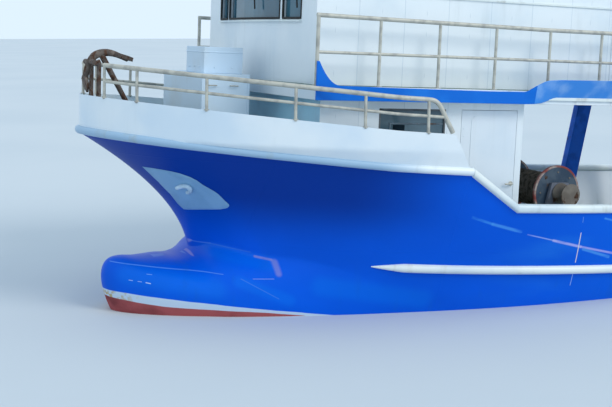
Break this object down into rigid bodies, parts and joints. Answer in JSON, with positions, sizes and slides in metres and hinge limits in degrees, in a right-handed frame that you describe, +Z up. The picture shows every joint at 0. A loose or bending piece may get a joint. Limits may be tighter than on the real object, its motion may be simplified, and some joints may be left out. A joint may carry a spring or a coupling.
{
  "type": "fishing trawler",
  "caption": "Steel stern trawler afloat bow up: raked flared bow over a bulb, forecastle, two-tier deckhouse, trawl winch, net drum, gantry, screw and rudder.",
  "frame": {"origin": "in the water plane on the centreline, under midships", "axes": "+X forward, +Y to port, +Z up; the ship floats two and a half degrees bow up"},
  "size_m": [19.17, 5.5616, 10.5912],
  "materials": {
    "bronze": "cast bronze",
    "deck_paint": "matt non-slip deck paint",
    "galvanised_rail": "dull galvanised tube with rust spots",
    "window_glass": "clear tinted window glass",
    "hull_blue": "gloss marine paint, worn at the waterline",
    "net_twine": "green netting wound on the drum",
    "hawse_steel": "thin pale paint on steel, chipped",
    "bare_iron": "rusted bare iron",
    "machinery_steel": "worn grey machinery paint",
    "white_paint": "semi-gloss marine paint with rust runs",
    "wire_rope": "greased wire rope on steel drums"
  },
  "bodies": {
    "ship": {"hull": "hull_blue", "bulwark_stern": "hull_blue", "sheer_moulding": "white_paint", "bulwark_cap_stern": "white_paint", "anchor": "bare_iron", "bow_frame": "bare_iron", "foredeck_locker": "white_paint", "lower_deckhouse": "white_paint", "upper_deck": "hull_blue", "wheelhouse": "white_paint", "wheelhouse_roof": "white_paint", "glass_front": "window_glass", "winch_frame": "machinery_steel", "net_drum_stand": "machinery_steel", "stern_gantry": "white_paint", "hatch_coaming": "white_paint", "mast": "white_paint", "funnel": "hull_blue", "life_raft": "white_paint", "bulwark_port": "hull_blue", "bulwark_starboard": "hull_blue", "forecastle_bulwark_port": "white_paint", "forecastle_bulwark_starboard": "white_paint", "bulwark_cap_port": "white_paint", "bulwark_cap_starboard": "white_paint", "rub_rail_port": "white_paint", "rub_rail_starboard": "white_paint", "hawse_plate_port": "hawse_steel", "hawse_plate_starboard": "hawse_steel", "forecastle_rail_port": "galvanised_rail", "forecastle_rail_starboard": "galvanised_rail", "deckhouse_glass_port": "window_glass", "deckhouse_glass_starboard": "window_glass", "fascia_port": "hull_blue", "fascia_starboard": "hull_blue", "upper_rail_port": "galvanised_rail", "upper_rail_starboard": "galvanised_rail", "glass_side_port": "window_glass", "glass_side_starboard": "window_glass", "shelter_post_port": "hull_blue", "shelter_post_starboard": "hull_blue", "aft_post_port": "hull_blue", "aft_post_starboard": "hull_blue", "otter_board_port": "bare_iron", "otter_board_starboard": "bare_iron", "bollards_port": "bare_iron", "bollards_starboard": "bare_iron"},
    "propeller": {"propeller": "bronze"},
    "rudder": {"rudder": "hull_blue"},
    "winch_drum_port": {"winch_drum_port": "wire_rope"},
    "winch_drum_starboard": {"winch_drum_starboard": "wire_rope"},
    "net_drum": {"net_drum": "net_twine"},
    "radar_scanner": {"radar_scanner": "white_paint"},
    "boom": {"boom": "white_paint"},
    "deckhouse_door_port": {"deckhouse_door_port": "white_paint"},
    "deckhouse_door_starboard": {"deckhouse_door_starboard": "white_paint"},
    "bridge_door_port": {"bridge_door_port": "white_paint"},
    "bridge_door_starboard": {"bridge_door_starboard": "white_paint"},
    "hatch_cover": {"hatch_cover": "deck_paint"},
    "forepeak_hatch": {"forepeak_hatch": "white_paint"}
  },
  "joints": [
    {"name": "propeller_spin", "type": "hinge", "parent": "ship", "child": "propeller", "pos_m": [-7.55255, 0, -1.71107], "axis": [0.999, 0, 0.0436], "continuous": true},
    {"name": "rudder_turn", "type": "hinge", "parent": "ship", "child": "rudder", "pos_m": [-8.28535, 0, -1.66298], "axis": [-0.0436, 0, 0.999], "range_deg": [-35, 35]},
    {"name": "winch_port_spin", "type": "hinge", "parent": "ship", "child": "winch_drum_port", "pos_m": [2.94175, 0.74, 1.39965], "axis": [0, 1, 0], "continuous": true},
    {"name": "winch_starboard_spin", "type": "hinge", "parent": "ship", "child": "winch_drum_starboard", "pos_m": [2.94175, -0.74, 1.39965], "axis": [0, 1, 0], "continuous": true},
    {"name": "net_drum_spin", "type": "hinge", "parent": "ship", "child": "net_drum", "pos_m": [-5.25699, 0, 1.19183], "axis": [0, 1, 0], "continuous": true},
    {"name": "radar_spin", "type": "hinge", "parent": "ship", "child": "radar_scanner", "pos_m": [4.55463, 0, 5.72472], "axis": [-0.0436, 0, 0.999], "continuous": true},
    {"name": "boom_topping", "type": "hinge", "parent": "ship", "child": "boom", "pos_m": [0.37936, 0, 3.92028], "axis": [0, 1, 0], "range_deg": [-15, 30]},
    {"name": "deckhouse_door_port_swing", "type": "hinge", "parent": "ship", "child": "deckhouse_door_port", "pos_m": [5.05838, 1.955, 1.75231], "axis": [-0.0436, 0, 0.999], "range_deg": [0, 90]},
    {"name": "deckhouse_door_starboard_swing", "type": "hinge", "parent": "ship", "child": "deckhouse_door_starboard", "pos_m": [5.05838, -1.955, 1.75231], "axis": [-0.0436, 0, 0.999], "range_deg": [-90, 0]},
    {"name": "bridge_door_port_swing", "type": "hinge", "parent": "ship", "child": "bridge_door_port", "pos_m": [2.46152, 1.845, 3.9161], "axis": [-0.0436, 0, 0.999], "range_deg": [0, 90]},
    {"name": "bridge_door_starboard_swing", "type": "hinge", "parent": "ship", "child": "bridge_door_starboard", "pos_m": [2.46152, -1.845, 3.9161], "axis": [-0.0436, 0, 0.999], "range_deg": [-90, 0]},
    {"name": "hold_hatch_lift", "type": "hinge", "parent": "ship", "child": "hatch_cover", "pos_m": [-1.9331, 0, 0.71666], "axis": [0, 1, 0], "range_deg": [0, 100]},
    {"name": "forepeak_hatch_lift", "type": "hinge", "parent": "ship", "child": "forepeak_hatch", "pos_m": [7.89303, -0.1, 3.19763], "axis": [0.999, 0, 0.0436], "range_deg": [0, 85]}
  ]
}
